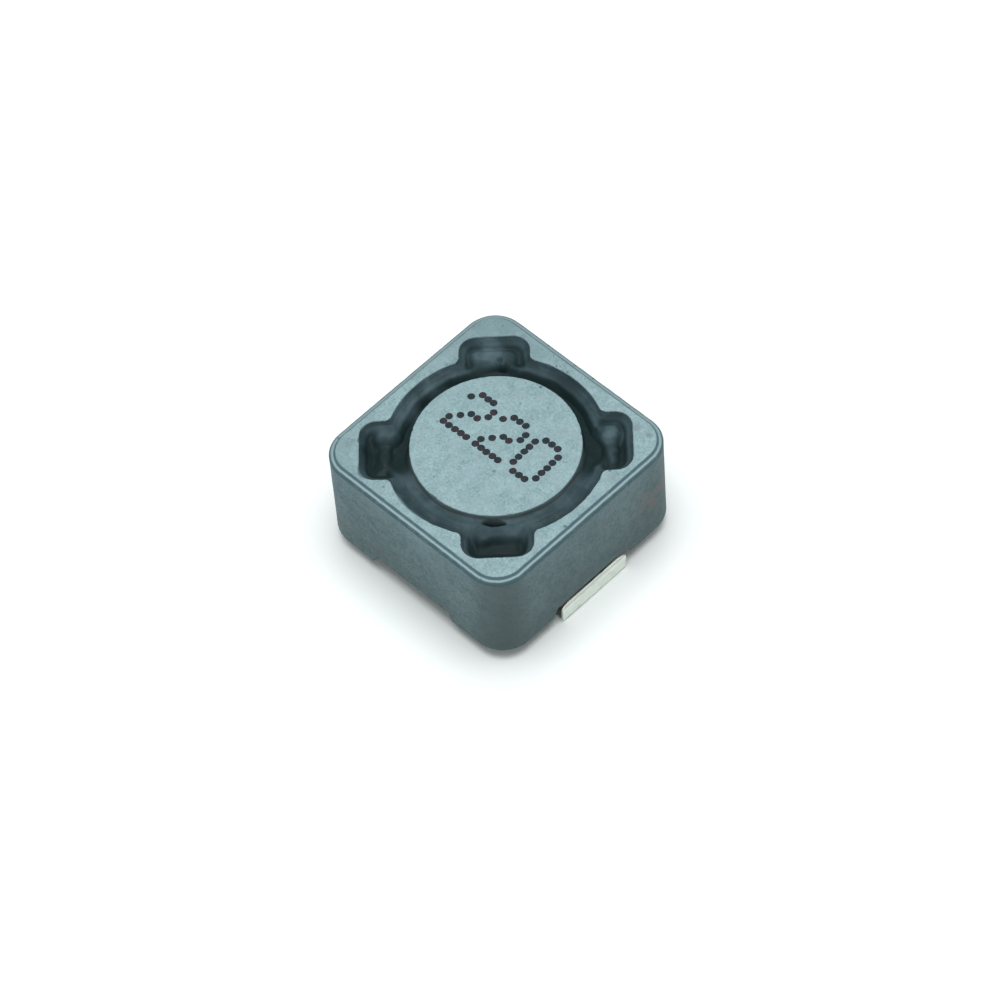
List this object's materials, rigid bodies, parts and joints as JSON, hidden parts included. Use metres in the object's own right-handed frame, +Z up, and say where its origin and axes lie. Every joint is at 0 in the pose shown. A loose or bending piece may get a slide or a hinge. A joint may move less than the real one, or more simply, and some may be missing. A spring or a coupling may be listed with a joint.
{
  "type": "shielded surface-mount inductor",
  "caption": "Square shielded power inductor: wound ferrite drum bonded in a ferrite ring, on folded solder terminals.",
  "frame": {"origin": "centre of the footprint, at the height of the solder pads, where the part stands on its board", "axes": "+Z up, out of the board; +X through the start terminal and -X through the finish terminal; the printed number reads along +X"},
  "size_m": [0.0122, 0.012, 0.0063],
  "materials": {
    "drum_ferrite": "ground grey ferrite, fine pits, matte",
    "ring_ferrite": "pressed and sintered grey ferrite, ground on top, darker on the walls",
    "copper_wire": "enamelled copper wire, tinned where it is soldered",
    "tinned_strip": "matte tin plate on a folded copper alloy strip",
    "solder": "satin solder",
    "dark_epoxy": "dark grey-green casting epoxy, satin",
    "ink": "ink-jet dots, matte dark grey"
  },
  "bodies": {
    "root": {"drum_core": "drum_ferrite", "shield_ring": "ring_ferrite", "winding": "copper_wire", "start_terminal": "tinned_strip", "finish_terminal": "tinned_strip", "start_solder": "solder", "finish_solder": "solder", "start_adhesive": "dark_epoxy", "finish_adhesive": "dark_epoxy", "gap_epoxy": "dark_epoxy", "base_epoxy": "dark_epoxy", "value_mark": "ink"}
  },
  "joints": []
}
